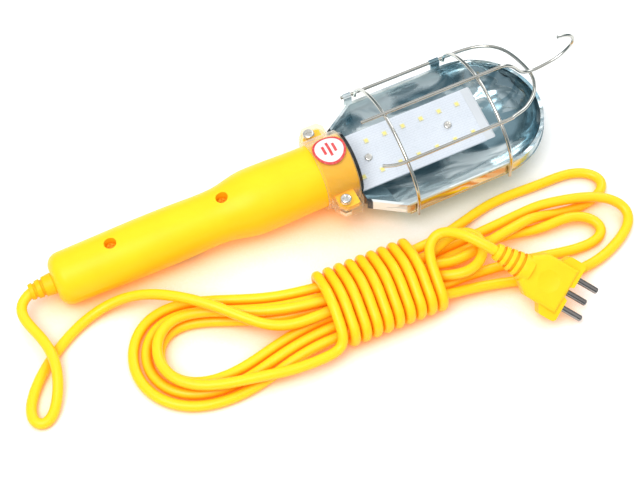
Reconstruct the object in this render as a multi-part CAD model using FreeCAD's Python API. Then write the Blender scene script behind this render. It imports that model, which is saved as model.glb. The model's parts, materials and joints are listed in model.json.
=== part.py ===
"""Hand-held LED work light with a wire guard, reflector, lampholder, moulded plug and coiled power cord.

Units are millimetres.  The lamp is modelled level in its own axes: +X runs along the lamp axis from the grip
to the hook, +Z is the side that shines, +Y is the guard's hinge side, and x = 0 is the collar's rear face.
The lamp is then laid on the floor, where it rests on its grip and on the reflector's belly.  The cord is
modelled in floor axes.  The finished origin is the centre of the footprint, on the floor.
"""
import FreeCAD, Part
import math
import os

V = FreeCAD.Vector

# Driving dimensions -------------------------------------------------------------------------------------
GAP = 0.05                    # space left between neighbouring solids that touch on the real lamp

GRIP_REAR_X = -172.0
GRIP_R = 16.6                 # radius just ahead of the rounded rear end
END_ROUND = 8.2               # radius of the rounded rear edge
WALL = 2.6
SLEEVE_R = 20.0               # handle sleeve inside the collar
SLEEVE_END_X = 19.5
MOUTH_R = 18.0
HANDLE_SCREW_X = (-133.0, -61.0)
RECESS_R = 3.8
RECESS_FLOOR_Z = 11.0
BOSS_Z = 15.4                 # outer end of the screw bosses, inside the wall
SCREW_R = 1.5

CORD_R = 3.2
BOOT_END_X = -187.0
CLAMP_X = -151.0
CLAMP_SCREW_Y = 8.0
CLAMP_SCREW_R = 1.3
CLAMP_SEAT_Z = 3.4            # top of the posts that the clamp bar sits on
CLAMP_TOP_Z = 6.2

COLLAR_R = 22.6
COLLAR_BORE_R = 20.4
COLLAR_END_X = 21.5
EAR_Y = 34.0                  # outer edge of the clamp ears
EAR_Z = 4.6                   # half thickness of a closed pair of ears
LUG_Z = 2.0                   # half thickness of the handle lugs inside the ears
EAR_SCREW_X = 8.5
EAR_SCREW_Y = 27.3
EAR_SCREW_R = 1.9
NUT_HEIGHT = 3.2
NUT_CORNER_R = 4.0
LABEL_R = 10.4
LABEL_THICK = 0.15

RIM_Z = -2.5                  # reflector rim plane
RIM_HALF_WIDTH = 43.0
TROUGH_DEPTH = 25.5
MOUTH_HALF_WIDTH = 28.0       # reflector half width where it meets the collar
MOUTH_DEPTH = 19.5
TROUGH_FLAT = 3.0             # half width of the flat along the belly
TAPER_START_X = 22.0
TAPER_END_X = 44.0
BOWL_CENTRE_X = 111.5
SHEET = 0.5
SKIRT_DEPTH = 8.0             # height of the down-turned rim
SKIRT_IN = 1.1                # skirt's inner face, outside the bowl's half width
SKIRT_OUT = 1.7
BEAD_R = 0.9                  # rolled edge of the skirt
NECK_X = (2.0, 24.0)          # sleeve of the reflector, clamped by the collar

WIRE_R = 1.1                  # guard wire
HINGE_Y = 46.4
HINGE_Z = 2.5
KNUCKLE_BORE_R = 1.16
KNUCKLE_R = 1.75
HOOP_X = (48.7, 112.4)
HOOP_TOP_Z = 33.4
HOOP_POWER = 1.78             # 2 is a true ellipse, less is flatter at the shoulders
FOOT_Z = -11.6
NEAR_LEG_ANGLE = 133.0        # where the near leg crosses the hoops, measured round them from the hinge
LOOP_CENTRE_X = 113.6
LOOP_REACH = 38.4             # how far the round end stands out from there
LOOP_POWERS = (3.3, 2.0)      # squareness of the round end on the hinge side and on the near side
LOOP_REAR_X = 33.0
SPINE_Z = HOOP_TOP_Z + 2 * WIRE_R + GAP

BULB_TURN = 12.0              # how far round its axis the screwed-in bulb has stopped, degrees
CAP_R = 13.0                  # E27 cap
BULB_NECK_R = 17.2
BULB_BODY_R = 20.0
BOARD_TOP_Z = -5.0
BOARD_THICK = 1.6
BOARD_HALF_WIDTH = 19.3
BOARD_X = (24.0, 112.0)
LED_PITCH = 12.9
LED_ROW_Y = 11.0
BOARD_SCREW_X = (37.5, 93.5)
BOARD_SCREW_R = 1.2
DRIVER_X = 8.65               # front face of the driver board, where its components stand
END_CAP_LENGTH = 7.0

SWITCH_X = -93.0
SWITCH_PIVOT_Z = -15.2
SWITCH_PIVOT_R = 1.0
SWITCH_HALF_LENGTH = 12.0
SWITCH_HALF_WIDTH = 7.2
ROCKER_SWING = 14.0           # degrees between off and on

PLUG_HEADING = -46.5          # degrees from the lamp axis, seen from above
PLUG_DIP = 22.0               # nose-down angle
PLUG_ROLL = 33.0
PLUG_FACE = V(104.8, -134.2, 14.6)   # centre of the pin face, in floor axes
PIN_R = 2.0
PIN_ROOT_R = 1.7              # thinner part held in the moulding
PIN_SHOULDER = 0.5            # the full radius starts this far in front of the moulding
PIN_LENGTH = 14.5
PIN_PITCH = 9.5
NOTCH = 2.4                   # depth of the notch that the middle pin stands in
PLUG_CORD_END = -51.4         # rear end of the ribbed tail
PLUG_HALF_THICK = 6.6

STRAND = 7.2                  # centre distance of neighbouring strands in the coil
WRAP_TURNS = 9
WRAP_START_X = -29.0

# Resting attitude: the grip's rear and the belly at the end of the reflector's taper touch the floor.
BELLY = -RIM_Z + TROUGH_DEPTH
REST_GRIP_X = GRIP_REAR_X + END_ROUND
LEAN = math.degrees(math.atan((BELLY - GRIP_R) / (TAPER_END_X - REST_GRIP_X)))
AXIS_HEIGHT = BELLY * math.cos(math.radians(LEAN)) - TAPER_END_X * math.sin(math.radians(LEAN)) + GAP
REST = FreeCAD.Placement(V(0, 0, AXIS_HEIGHT), FreeCAD.Rotation(V(0, 1, 0), -LEAN))


# Small helpers ------------------------------------------------------------------------------------------
def box(x, y, z):
    """Block between pairs of limits along each axis."""
    return Part.makeBox(x[1] - x[0], y[1] - y[0], z[1] - z[0], V(x[0], y[0], z[0]))


def rod(radius, start, end):
    """Round bar between two points."""
    along = end - start
    return Part.makeCylinder(radius, along.Length, start, along)


def tube(outer, inner, x0, x1):
    """Round tube on the lamp axis."""
    return rod(outer, V(x0, 0, 0), V(x1, 0, 0)).cut(rod(inner, V(x0 - 1, 0, 0), V(x1 + 1, 0, 0)))


def joined(shapes):
    """One solid from overlapping shapes."""
    shapes = list(shapes)
    return shapes[0].multiFuse(shapes[1:]).removeSplitter()


def cut_all(shape, tools):
    for tool in tools:
        shape = shape.cut(tool)
    return shape


def polygon_prism(points, z0, z1):
    """Prism over a flat outline of (x, y) points."""
    corners = [V(x, y, z0) for x, y in points]
    face = Part.Face(Part.makePolygon(corners + corners[:1]))
    return face.extrude(V(0, 0, z1 - z0))


def spline(points):
    """Smooth edge through the points."""
    curve = Part.BSplineCurve()
    curve.interpolate(points)
    return curve.toShape()


def swept(path, radius):
    """Round wire of the given radius along a path."""
    first = path.OrderedEdges[0]
    start = path.OrderedVertexes[0].Point
    at_start = (first.valueAt(first.FirstParameter) - start).Length < 1e-6
    tangent = first.tangentAt(first.FirstParameter if at_start else first.LastParameter)
    profile = Part.Wire([Part.makeCircle(radius, start, tangent)])
    return path.makePipeShell([profile], True, False)


def turned(profile, start_angle=0.0, sweep=360.0):
    """Solid of revolution about the lamp axis from edges in the x-z plane."""
    face = Part.Face(Part.Wire(profile))
    face.rotate(V(0, 0, 0), V(1, 0, 0), start_angle)
    return face.revolve(V(0, 0, 0), V(1, 0, 0), sweep)


def chain(points):
    """Straight edges joining (x, r) points in the x-z plane."""
    corners = [V(x, 0, r) for x, r in points]
    return [Part.makeLine(a, b) for a, b in zip(corners, corners[1:])]


def turned_chain(points):
    return turned(chain(points + points[:1]))


def compound(shapes):
    return Part.makeCompound(list(shapes))


# Handle -------------------------------------------------------------------------------------------------
GRIP_OUTLINE = [(REST_GRIP_X, GRIP_R), (-135, 17.1), (-108, 17.5), (-85, 17.2), (-71, 16.9), (-61, 17.6),
                (-53, 19.3), (-45, 20.7), (-36, 21.0), (-18, 20.6), (-GAP, 20.3)]


def handle_half(start_angle):
    """One hollow half of the handle, between the split plane and the given side."""
    outside = [V(x, 0, r) for x, r in GRIP_OUTLINE]
    inside = [V(x, 0, r - WALL) for x, r in GRIP_OUTLINE]
    hole_r = CORD_R + 1.9
    rear_in = GRIP_REAR_X + WALL
    flat_r = GRIP_R - END_ROUND
    bend = END_ROUND * math.sqrt(0.5)
    corner = Part.Arc(V(GRIP_REAR_X, 0, flat_r),
                      V(REST_GRIP_X - bend, 0, flat_r + bend),
                      outside[0]).toShape()
    edges = [corner, spline(outside)]
    edges += chain([GRIP_OUTLINE[-1], (-GAP, SLEEVE_R), (SLEEVE_END_X, SLEEVE_R), (SLEEVE_END_X, MOUTH_R),
                    (-GAP, MOUTH_R), (-GAP, GRIP_OUTLINE[-1][1] - WALL)])
    edges.append(spline(inside[::-1]))
    edges += chain([(REST_GRIP_X, GRIP_R - WALL), (rear_in, flat_r), (rear_in, hole_r),
                    (GRIP_REAR_X, hole_r), (GRIP_REAR_X, flat_r)])
    return turned(edges, start_angle=start_angle, sweep=180.0)


def lug_outline(grow):
    """Plan of the clamp ear; a negative grow gives the smaller handle lug inside it."""
    return [(1.5 - grow, 18.0), (1.5 - grow, 27.5), (6.5 - grow / 2, EAR_Y + grow),
            (16.5 + grow / 2, EAR_Y + grow), (19.5 + grow, EAR_Y - 3.5), (19.5 + grow, 18.0)]


def mirrored(outline, side):
    return [(x, side * y) for x, y in outline]


def handle_lugs(z0, z1):
    return [polygon_prism(mirrored(lug_outline(-2.8), side), z0, z1) for side in (-1, 1)]


def ear_bolts(radius, z0, z1):
    return [rod(radius, V(EAR_SCREW_X, side * EAR_SCREW_Y, z0), V(EAR_SCREW_X, side * EAR_SCREW_Y, z1))
            for side in (-1, 1)]


def clamp_rods(radius, z0, z1):
    """Upright cylinders at the cord clamp's two screws."""
    return [rod(radius, V(CLAMP_X, side * CLAMP_SCREW_Y, z0), V(CLAMP_X, side * CLAMP_SCREW_Y, z1))
            for side in (-1, 1)]


def above_split(sign):
    """Region on one side of the handle's split plane."""
    limits = (GAP, 60) if sign > 0 else (-60, -GAP)
    return box((-250, 250), (-60, 60), limits)


def handle_upper_shell():
    shell = handle_half(-90.0)
    bosses = [rod(RECESS_R + 1.6, V(x, 0, GAP), V(x, 0, BOSS_Z)) for x in HANDLE_SCREW_X]
    shell = joined([shell] + bosses + handle_lugs(GAP, LUG_Z))
    shell = shell.common(above_split(1))
    recesses = [rod(RECESS_R, V(x, 0, RECESS_FLOOR_Z), V(x, 0, 30)) for x in HANDLE_SCREW_X]
    passages = [rod(SCREW_R + 0.2, V(x, 0, -1), V(x, 0, RECESS_FLOOR_Z + 1)) for x in HANDLE_SCREW_X]
    return cut_all(shell, recesses + passages + ear_bolts(EAR_SCREW_R + 0.1, -5, 5))


def handle_lower_shell():
    shell = handle_half(90.0)
    bosses = [rod(4.2, V(x, 0, -BOSS_Z), V(x, 0, -GAP)) for x in HANDLE_SCREW_X]
    posts = clamp_rods(2.8, -12.5, -GAP)
    shell = joined([shell] + bosses + posts + handle_lugs(-LUG_Z, -GAP))
    shell = shell.common(above_split(-1))
    shell = joined([shell] + clamp_rods(2.8, -2, CLAMP_SEAT_Z))
    half_length = SWITCH_HALF_LENGTH + 0.1
    half_width = SWITCH_HALF_WIDTH + 0.1
    window = box((SWITCH_X - half_length, SWITCH_X + half_length), (-half_width, half_width), (-30, -10))
    holes = [rod(SCREW_R + GAP, V(x, 0, -13.5), V(x, 0, 1)) for x in HANDLE_SCREW_X]
    holes += clamp_rods(CLAMP_SCREW_R + GAP, -9, 5)
    return cut_all(shell, holes + [window] + ear_bolts(EAR_SCREW_R + 0.1, -5, 5))


def pan_screw(x, y, head_z, head_r, head_height, shank_r, tip_z):
    """Screw pointing down, with a flat-topped round head and a cross recess."""
    head = rod(head_r, V(x, y, head_z), V(x, y, head_z + head_height))
    top_edges = [e for e in head.Edges if abs(e.CenterOfMass.z - head_z - head_height) < 1e-6]
    head = head.makeFillet(head_height * 0.55, top_edges)
    arm = head_r * 0.6
    slot = head_r * 0.14
    top = (head_z + head_height * 0.55, head_z + head_height + 1)
    cross = [box((x - arm, x + arm), (y - slot, y + slot), top),
             box((x - slot, x + slot), (y - arm, y + arm), top)]
    shank = rod(shank_r, V(x, y, tip_z), V(x, y, head_z + 0.1))
    return cut_all(joined([head, shank]), cross)


def handle_screws():
    return compound(pan_screw(x, 0, RECESS_FLOOR_Z + GAP, 3.2, 2.0, SCREW_R, -12.5) for x in HANDLE_SCREW_X)


# Cord entry ---------------------------------------------------------------------------------------------
def cord_boot():
    """Soft sleeve held in the handle's rear wall, with two bend-relief grooves and a flared mouth."""
    rear_in = GRIP_REAR_X + WALL
    bore = CORD_R + 0.35
    return turned_chain([(BOOT_END_X, bore + 0.75), (BOOT_END_X, 4.9), (-184.4, 5.3), (-184.2, 4.5),
                         (-183.0, 4.5), (-182.8, 5.5), (-179.8, 5.9), (-179.6, 5.0), (-178.4, 5.0),
                         (-178.2, 6.2), (GRIP_REAR_X - 0.6, 6.8), (GRIP_REAR_X - GAP, 6.8),
                         (GRIP_REAR_X - GAP, 5.1), (rear_in + GAP, 5.1), (rear_in + GAP, 7.6),
                         (rear_in + 2.0, 7.6), (rear_in + 2.0, bore), (BOOT_END_X + 4, bore)])


def cord_clamp():
    """Bar with a hump over the cord, screwed down on two posts."""
    bar = box((CLAMP_X - 5, CLAMP_X + 5), (-10.8, 10.8), (CLAMP_SEAT_Z + GAP, CLAMP_TOP_Z))
    arch = rod(5.2, V(CLAMP_X - 5, 0, 0.6), V(CLAMP_X + 5, 0, 0.6))
    hump = arch.common(box((CLAMP_X - 6, CLAMP_X + 6), (-6, 6), (CLAMP_SEAT_Z + GAP, 10)))
    cord_way = rod(CORD_R + GAP, V(CLAMP_X - 6, 0, 0), V(CLAMP_X + 6, 0, 0))
    return cut_all(joined([bar, hump]), [cord_way] + clamp_rods(CLAMP_SCREW_R + GAP, 0, 9))


def cord_clamp_screws():
    return compound(pan_screw(CLAMP_X, side * CLAMP_SCREW_Y, CLAMP_TOP_Z + GAP, 2.4, 1.5, CLAMP_SCREW_R, -7)
                    for side in (-1, 1))


# Lampholder ---------------------------------------------------------------------------------------------
HOLDER_X = (-42.0, -4.0)
HOLDER_R = 17.6
HOLDER_BORE_R = 14.4
HOLDER_FLOOR_X = -30.0
TERMINAL_Y = 8.0


def terminal_rods(radius, x0, x1):
    """Cylinders along the lamp axis at the two terminals."""
    return [rod(radius, V(x0, side * TERMINAL_Y, 0), V(x1, side * TERMINAL_Y, 0)) for side in (-1, 1)]


def lampholder_body():
    """Ceramic cup with a blind hole for each terminal screw in its rear face."""
    body = rod(HOLDER_R, V(HOLDER_X[0], 0, 0), V(HOLDER_X[1], 0, 0))
    bore = rod(HOLDER_BORE_R, V(HOLDER_FLOOR_X, 0, 0), V(0, 0, 0))
    screw_holes = terminal_rods(1.6, HOLDER_X[0] - 1, HOLDER_X[0] + 6)
    return cut_all(body, [bore] + screw_holes)


def lampholder_screw_shell():
    return tube(HOLDER_BORE_R - GAP, 13.5, HOLDER_FLOOR_X + GAP, -5)


def lampholder_centre_contact():
    return rod(3.2, V(HOLDER_FLOOR_X + GAP, 0, 0), V(HOLDER_FLOOR_X + 0.6, 0, 0))


def lampholder_terminal_screws():
    """Cheese-head screws, heads just behind the holder's rear face."""
    heads = terminal_rods(2.8, HOLDER_X[0] - 1.8, HOLDER_X[0] - GAP)
    shanks = terminal_rods(1.5, HOLDER_X[0] - 0.2, HOLDER_X[0] + 5)
    return compound(joined(pair) for pair in zip(heads, shanks))


def core_wire(side):
    """One insulated core from the clamped cord end, past the screw bosses, to a lampholder terminal."""
    path = spline([V(-142.5, side * 1.5, 0), V(-139.5, side * 5.2, 0.5), V(-133, side * 8.6, 1.2),
                   V(-100, side * 8.5, 1), V(-68, side * 9, 1), V(-52, side * 8.5, 0.5),
                   V(HOLDER_X[0] - 2.1, side * TERMINAL_Y, 0)])
    return swept(Part.Wire([path]), 1.1)


# Switch -------------------------------------------------------------------------------------------------
def switch_axle(radius, half_length):
    return rod(radius, V(SWITCH_X, -half_length, SWITCH_PIVOT_Z), V(SWITCH_X, half_length, SWITCH_PIVOT_Z))


def switch_housing():
    """Bezel flush with the grip, a box behind it, and a pocket for the rocker."""
    bezel = box((SWITCH_X - SWITCH_HALF_LENGTH, SWITCH_X + SWITCH_HALF_LENGTH),
                (-SWITCH_HALF_WIDTH, SWITCH_HALF_WIDTH), (-18.0, -14.3))
    body = box((SWITCH_X - 10.5, SWITCH_X + 10.5), (-6.4, 6.4), (-14.4, -5))
    pocket = box((SWITCH_X - 8, SWITCH_X + 8), (-4.9, 4.9), (-19, -8))
    return cut_all(joined([bezel, body]), [pocket, switch_axle(SWITCH_PIVOT_R + GAP, 6.3)])


def switch_pivot():
    return switch_axle(SWITCH_PIVOT_R, 6.2)


def switch_rocker():
    """Rocker with a shallow V face, resting in its off position."""
    section = [(-7.3, -3.0), (0, -2.3), (7.3, -3.0), (7.0, 1.2), (2.2, 3.6), (-2.2, 3.6), (-7.0, 1.2)]
    corners = [V(SWITCH_X + x, -4.6, SWITCH_PIVOT_Z + z) for x, z in section]
    block = Part.Face(Part.makePolygon(corners + corners[:1])).extrude(V(0, 9.2, 0))
    block = block.cut(switch_axle(SWITCH_PIVOT_R + GAP, 5))
    block.rotate(V(SWITCH_X, 0, SWITCH_PIVOT_Z), V(0, 1, 0), -ROCKER_SWING / 2)
    return block


# Collar -------------------------------------------------------------------------------------------------
def collar_half(sign):
    """Clear half ring with an ear on each side; the ears close over the handle lugs."""
    z0, z1 = (GAP, EAR_Z) if sign > 0 else (-EAR_Z, -GAP)
    pocket = (-1, LUG_Z + GAP) if sign > 0 else (-LUG_Z - GAP, 1)
    ring = rod(COLLAR_R, V(0, 0, 0), V(COLLAR_END_X, 0, 0))
    ears = [polygon_prism(mirrored(lug_outline(0), side), z0, z1) for side in (-1, 1)]
    half = joined([ring] + ears).common(above_split(sign))
    tools = [rod(COLLAR_BORE_R, V(-1, 0, 0), V(COLLAR_END_X + 1, 0, 0))]
    tools += [polygon_prism(mirrored(lug_outline(-2.7), side), *pocket) for side in (-1, 1)]
    return cut_all(half, tools + ear_bolts(EAR_SCREW_R + 0.15, -9, 9))


def collar_screws():
    return compound(pan_screw(EAR_SCREW_X, side * EAR_SCREW_Y, EAR_Z + GAP, 3.7, 2.5, EAR_SCREW_R, -9.6)
                    for side in (-1, 1))


def collar_nuts():
    """Hexagon nuts under the ears."""
    nuts = []
    for side in (-1, 1):
        centre = V(EAR_SCREW_X, side * EAR_SCREW_Y, -EAR_Z - NUT_HEIGHT)
        angles = [math.pi / 3 * k for k in range(6)]
        corners = [centre + V(math.cos(angle), math.sin(angle), 0) * NUT_CORNER_R for angle in angles]
        hexagon = Part.Face(Part.makePolygon(corners + corners[:1])).extrude(V(0, 0, NUT_HEIGHT - GAP))
        nuts.append(hexagon.cut(rod(EAR_SCREW_R + GAP, centre - V(0, 0, 1), centre + V(0, 0, 9))))
    return compound(nuts)


def label():
    """Round sticker bent over the top of the collar."""
    centre_x = COLLAR_END_X / 2
    disc = Part.makeCylinder(LABEL_R, 2 * COLLAR_R, V(centre_x, 0, 0), V(0, 0, 1))
    skin = tube(COLLAR_R + GAP + LABEL_THICK, COLLAR_R + GAP, 0, COLLAR_END_X)
    return disc.common(skin)


# Reflector ----------------------------------------------------------------------------------------------
def trough_section(x, half_width, depth):
    """D-shaped outline hanging below the rim plane: two elliptic quarters with a narrow flat between them."""
    sides = []
    for side in (1, -1):
        rim = V(x, side * half_width, RIM_Z)
        bottom = V(x, side * TROUGH_FLAT, RIM_Z - depth)
        ellipse = Part.Ellipse(rim, bottom, V(x, side * TROUGH_FLAT, RIM_Z))
        sides.append(Part.Arc(ellipse, 0, math.pi / 2).toShape())
    floor = Part.makeLine(V(x, TROUGH_FLAT, RIM_Z - depth), V(x, -TROUGH_FLAT, RIM_Z - depth))
    top = Part.makeLine(V(x, -half_width, RIM_Z), V(x, half_width, RIM_Z))
    return Part.Wire([sides[0], floor, sides[1], top])


def bowl_end(half_width, depth):
    """Rounded end: the same elliptic quarter turned half way round the upright line at the trough's end."""
    centre = V(BOWL_CENTRE_X, 0, RIM_Z)
    rim = centre + V(0, -half_width, 0)
    bottom = centre + V(0, -TROUGH_FLAT, -depth)
    ellipse = Part.Ellipse(rim, bottom, centre + V(0, -TROUGH_FLAT, 0))
    middle = centre + V(0, 0, -depth)
    edges = [Part.Arc(ellipse, 0, math.pi / 2).toShape(), Part.makeLine(bottom, middle),
             Part.makeLine(middle, centre), Part.makeLine(centre, rim)]
    return Part.Face(Part.Wire(edges)).revolve(centre, V(0, 0, 1), 180)


def trough(shrink):
    """Solid that fills the reflector up to its rim, made smaller all round by shrink."""
    rear = trough_section(TAPER_START_X, MOUTH_HALF_WIDTH - shrink, MOUTH_DEPTH - shrink)
    wide = trough_section(TAPER_END_X, RIM_HALF_WIDTH - shrink, TROUGH_DEPTH - shrink)
    taper = Part.makeLoft([rear, wide], True, True)
    straight = Part.Face(wide).extrude(V(BOWL_CENTRE_X - TAPER_END_X, 0, 0))
    return joined([taper, straight, bowl_end(RIM_HALF_WIDTH - shrink, TROUGH_DEPTH - shrink)])


def rim_plan(grow, z0, z1):
    """Prism over the reflector's plan outline, widened by grow."""
    mouth, wide = MOUTH_HALF_WIDTH + grow, RIM_HALF_WIDTH + grow
    near = [V(TAPER_START_X, -mouth, z0), V(TAPER_END_X, -wide, z0), V(BOWL_CENTRE_X, -wide, z0)]
    far = [V(BOWL_CENTRE_X, wide, z0), V(TAPER_END_X, wide, z0), V(TAPER_START_X, mouth, z0)]
    tip = V(BOWL_CENTRE_X + wide, 0, z0)
    edges = [Part.makeLine(a, b) for a, b in zip(near, near[1:])]
    edges.append(Part.Arc(near[-1], tip, far[0]).toShape())
    edges += [Part.makeLine(a, b) for a, b in zip(far, far[1:])]
    edges.append(Part.makeLine(far[-1], near[0]))
    return Part.Face(Part.Wire(edges)).extrude(V(0, 0, z1 - z0))


def skirt_bead():
    """Rolled edge along the bottom of the skirt, round the bowl end and down both sides."""
    y = RIM_HALF_WIDTH + (SKIRT_IN + SKIRT_OUT) / 2
    z = RIM_Z - SKIRT_DEPTH
    sides = [rod(BEAD_R, V(TAPER_END_X, side * y, z), V(BOWL_CENTRE_X, side * y, z)) for side in (-1, 1)]
    ring = Part.makeTorus(y, BEAD_R, V(BOWL_CENTRE_X, 0, z), V(0, 0, 1))
    return sides + [ring.common(box((BOWL_CENTRE_X, 200), (-60, 60), (-60, 0)))]


def hinge_knuckles():
    """Two tabs that rise from the rim and curl round the guard's hinge wire."""
    tab_y = (RIM_HALF_WIDTH + SKIRT_IN, RIM_HALF_WIDTH + SKIRT_OUT)
    parts = []
    for x0, x1 in ((41.0, 46.5), (103.5, 110.0)):
        tab = box((x0, x1), tab_y, (RIM_Z - 1, HINGE_Z + 0.6))
        curl = rod(KNUCKLE_R, V(x0, HINGE_Y, HINGE_Z), V(x1, HINGE_Y, HINGE_Z))
        parts += [tab, curl]
    return parts


def reflector_neck():
    """Sleeve between the handle and the collar, slotted for the handle lugs."""
    slot = box((NECK_X[0] - 1, SLEEVE_END_X), (-EAR_Y, EAR_Y), (RIM_Z, -RIM_Z))
    return tube(COLLAR_BORE_R - GAP, SLEEVE_R + GAP, *NECK_X).cut(slot)


def reflector_skirt():
    """Down-turned rim: a band that stands off the trough and is joined to it along the rim plane."""
    bottom = RIM_Z - SKIRT_DEPTH
    band = rim_plan(SKIRT_OUT, bottom, RIM_Z).cut(rim_plan(SKIRT_IN, bottom - 1, RIM_Z - SHEET))
    return band.cut(rim_plan(-SHEET, RIM_Z - SHEET - 1, RIM_Z + 1))


def reflector():
    shell = trough(0).cut(trough(SHEET))
    end_section = trough_section(TAPER_START_X, MOUTH_HALF_WIDTH, MOUTH_DEPTH)
    end_wall = Part.Face(end_section).extrude(V(SHEET, 0, 0))
    body = joined([shell, reflector_skirt(), end_wall, reflector_neck()] + skirt_bead() + hinge_knuckles())
    neck_bore = rod(SLEEVE_R + GAP, V(0, 0, 0), V(NECK_X[1] + 1, 0, 0))
    round_neck = rod(COLLAR_BORE_R - GAP, V(0, 0, 0), V(60, 0, 0))
    behind = box((TAPER_START_X - 3, TAPER_START_X), (-60, 60), (-60, 0)).cut(round_neck)
    hinge_bore = rod(KNUCKLE_BORE_R, V(30, HINGE_Y, HINGE_Z), V(120, HINGE_Y, HINGE_Z))
    return cut_all(body, [neck_bore, behind, hinge_bore])


# Wire guard ---------------------------------------------------------------------------------------------
def hoop_point(x, degrees):
    """Point of a hoop's centre line, from the hinge side (0) over the top (90) to the near side (180)."""
    far_y = HINGE_Y - 2 * WIRE_R - GAP
    foot_y = -(RIM_HALF_WIDTH + SKIRT_OUT + BEAD_R + WIRE_R)
    angle = math.radians(degrees)
    across = math.copysign(abs(math.cos(angle)) ** (2 / HOOP_POWER), math.cos(angle))
    up = abs(math.sin(angle)) ** (2 / HOOP_POWER)
    return V(x, (far_y + foot_y) / 2 + across * (far_y - foot_y) / 2, HINGE_Z + (HOOP_TOP_Z - HINGE_Z) * up)


def loop_end(hinge_side, near_side):
    """Points round the loop's end, fuller on the hinge side, in the sloping plane of its two legs."""
    centre = (hinge_side + near_side) * 0.5
    steps = 16
    points = []
    for k in range(steps + 1):
        angle = math.pi * k / steps
        power = LOOP_POWERS[0] if k < steps / 2 else LOOP_POWERS[1]
        across = math.copysign(abs(math.cos(angle)) ** (2 / power), math.cos(angle))
        ahead = abs(math.sin(angle)) ** (2 / power)
        points.append(centre + (hinge_side - centre) * across + V(LOOP_REACH * ahead, 0, 0))
    return points


def guard_loop():
    """U-shaped wire: hinge leg, sloping round end and near leg whose tail bends inwards."""
    hinge_side = V(LOOP_CENTRE_X, HINGE_Y, HINGE_Z)
    crossing = hoop_point(LOOP_CENTRE_X, NEAR_LEG_ANGLE)
    down_hoop = hoop_point(LOOP_CENTRE_X, NEAR_LEG_ANGLE + 1) - hoop_point(LOOP_CENTRE_X, NEAR_LEG_ANGLE - 1)
    near_side = crossing + down_hoop.cross(V(1, 0, 0)).normalize() * (2 * WIRE_R + GAP)
    hinge_leg = Part.makeLine(V(39.5, HINGE_Y, HINGE_Z), hinge_side)
    leg_end = V(LOOP_REAR_X + 14, near_side.y, near_side.z)
    near_leg = Part.makeLine(near_side, leg_end)
    tail = spline([leg_end, leg_end + V(-5, 0.5, 0), leg_end + V(-14, 3.2, 0.6)])
    round_end = Part.BSplineCurve()
    round_end.interpolate(Points=loop_end(hinge_side, near_side), InitialTangent=V(1, 0, 0),
                          FinalTangent=V(-1, 0, 0))
    return swept(Part.Wire([hinge_leg, round_end.toShape(), near_leg, tail]), WIRE_R)


def guard_hoop(x):
    """Hoop from the hinge wire over the bulb to a straight foot outside the near rim."""
    points = [hoop_point(x, 180 * k / 16) for k in range(17)]
    foot_y = points[-1].y
    points.append(V(x, foot_y, (HINGE_Z + FOOT_Z) / 2))
    points.append(V(x, foot_y, FOOT_Z))
    return swept(Part.Wire([spline(points)]), WIRE_R)


def guard_spine_hook():
    """Straight wire along the top, kinked down over the loop's tip and curled into the hanging hook."""
    straight = Part.makeLine(V(LOOP_REAR_X, 0, SPINE_Z), V(126, 0, SPINE_Z))
    bend = spline([V(126, 0, SPINE_Z), V(132.5, 0, SPINE_Z - 1.2), V(139, 0, 28.8), V(144.5, 0, 21.8),
                   V(150.5, 0, 18.9), V(160, 0, 19.3), V(170, 0, 22.0), V(177.5, 0, 27.6),
                   V(180.2, 0, 33.0), V(178.2, 0, 38.0), V(173.5, 0, 41.2), V(168.0, 0, 42.6)])
    return swept(Part.Wire([straight, bend]), WIRE_R)


# LED bulb -----------------------------------------------------------------------------------------------
def bulb_cap_shell():
    return tube(CAP_R, CAP_R - 0.8, -26, -1)


def bulb_cap_insulator():
    seat = CAP_R - 0.8 - 0.1
    return turned_chain([(-27.8, 0), (-27.8, 5.0), (-26, seat), (-24, seat), (-24, 0)])


def bulb_tip_contact():
    return turned_chain([(-29.2, 0), (-29.2, 2.6), (-28.4, 4.4), (-27.85, 4.4), (-27.85, 0)])


def bulb_housing():
    """Hollow plastic neck between the cap and the heat sink."""
    seat = CAP_R - 0.9
    inner = BULB_NECK_R - 1.6
    return turned_chain([(-7, seat), (-0.95, seat), (-0.95, 13.4), (3.5, BULB_NECK_R), (22, BULB_NECK_R),
                         (22, inner), (5, inner), (1, 10.5), (-7, 10.5)])


def bulb_section(radius, top_z, x0, x1):
    """Bar whose section is a circle cut flat at top_z."""
    bar = rod(radius, V(x0, 0, 0), V(x1, 0, 0))
    return bar.common(box((x0, x1), (-30, 30), (-30, top_z)))


def board_screw_rods(radius, z0, z1):
    return [rod(radius, V(x, 0, z0), V(x, 0, z1)) for x in BOARD_SCREW_X]


def bulb_heatsink():
    """Hollow half-round body under the board."""
    top = BOARD_TOP_Z - BOARD_THICK - GAP
    body = bulb_section(BULB_BODY_R, top, 22 + GAP, BOARD_X[1])
    hollow = bulb_section(BULB_BODY_R - 3.0, top - 2.4, 26, BOARD_X[1] - 3)
    return cut_all(body, [hollow] + board_screw_rods(BOARD_SCREW_R + GAP, top - 5, 0))


def bulb_end_cap():
    """Thick end with a rounded outer edge, level with the board."""
    x0 = BOARD_X[1] + GAP
    x1 = BOARD_X[1] + END_CAP_LENGTH
    cap = bulb_section(BULB_BODY_R, BOARD_TOP_Z, x0, x1)
    return cap.makeFillet(2.0, [edge for edge in cap.Edges if edge.BoundBox.XMin > x1 - 0.01])


def led_board():
    board = box(BOARD_X, (-BOARD_HALF_WIDTH, BOARD_HALF_WIDTH), (BOARD_TOP_Z - BOARD_THICK, BOARD_TOP_Z))
    return cut_all(board, board_screw_rods(BOARD_SCREW_R + GAP, -20, 0))


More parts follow.
